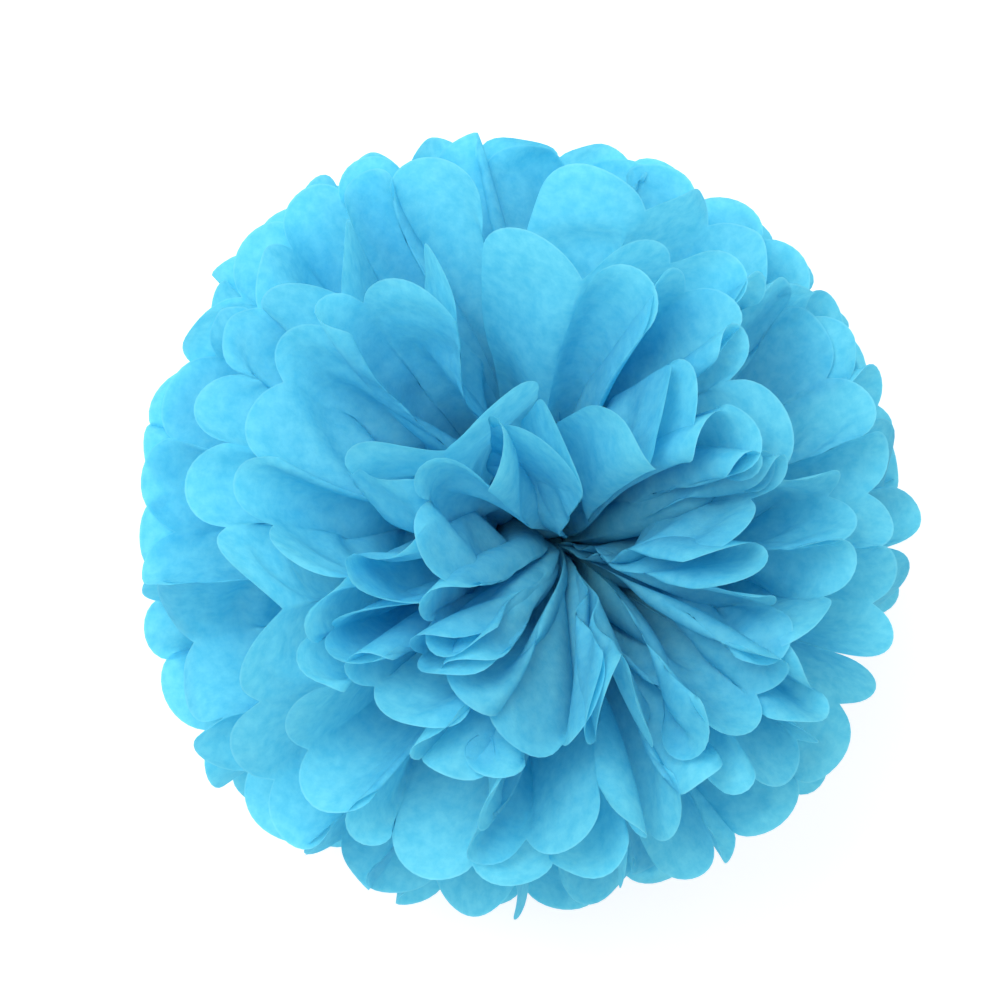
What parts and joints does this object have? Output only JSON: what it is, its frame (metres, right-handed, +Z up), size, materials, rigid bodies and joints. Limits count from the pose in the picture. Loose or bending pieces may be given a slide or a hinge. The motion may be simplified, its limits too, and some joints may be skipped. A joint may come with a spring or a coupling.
{
  "type": "tissue paper pom pom",
  "caption": "Round party decoration: pleated tissue paper sheets with round-cut ends, tied at the waist with a wire and fanned out into a ball of petals.",
  "frame": {"origin": "middle of the ball's underside, on the surface that it rests on", "axes": "+Z up, through the sheets from the lowest to the topmost; the tied bundle of pleats lies along Y, and the two fans of each sheet meet on the XZ plane"},
  "size_m": [0.2522, 0.2486, 0.2272],
  "materials": {
    "tissue": "matt, translucent sky blue tissue",
    "wire": "thin bare steel wire"
  },
  "bodies": {
    "root": {"sheet_01": "tissue", "sheet_02": "tissue", "sheet_03": "tissue", "sheet_04": "tissue", "sheet_05": "tissue", "sheet_06": "tissue", "sheet_07": "tissue", "sheet_08": "tissue", "sheet_09": "tissue", "sheet_10": "tissue", "wire_tie": "wire"}
  },
  "joints": []
}
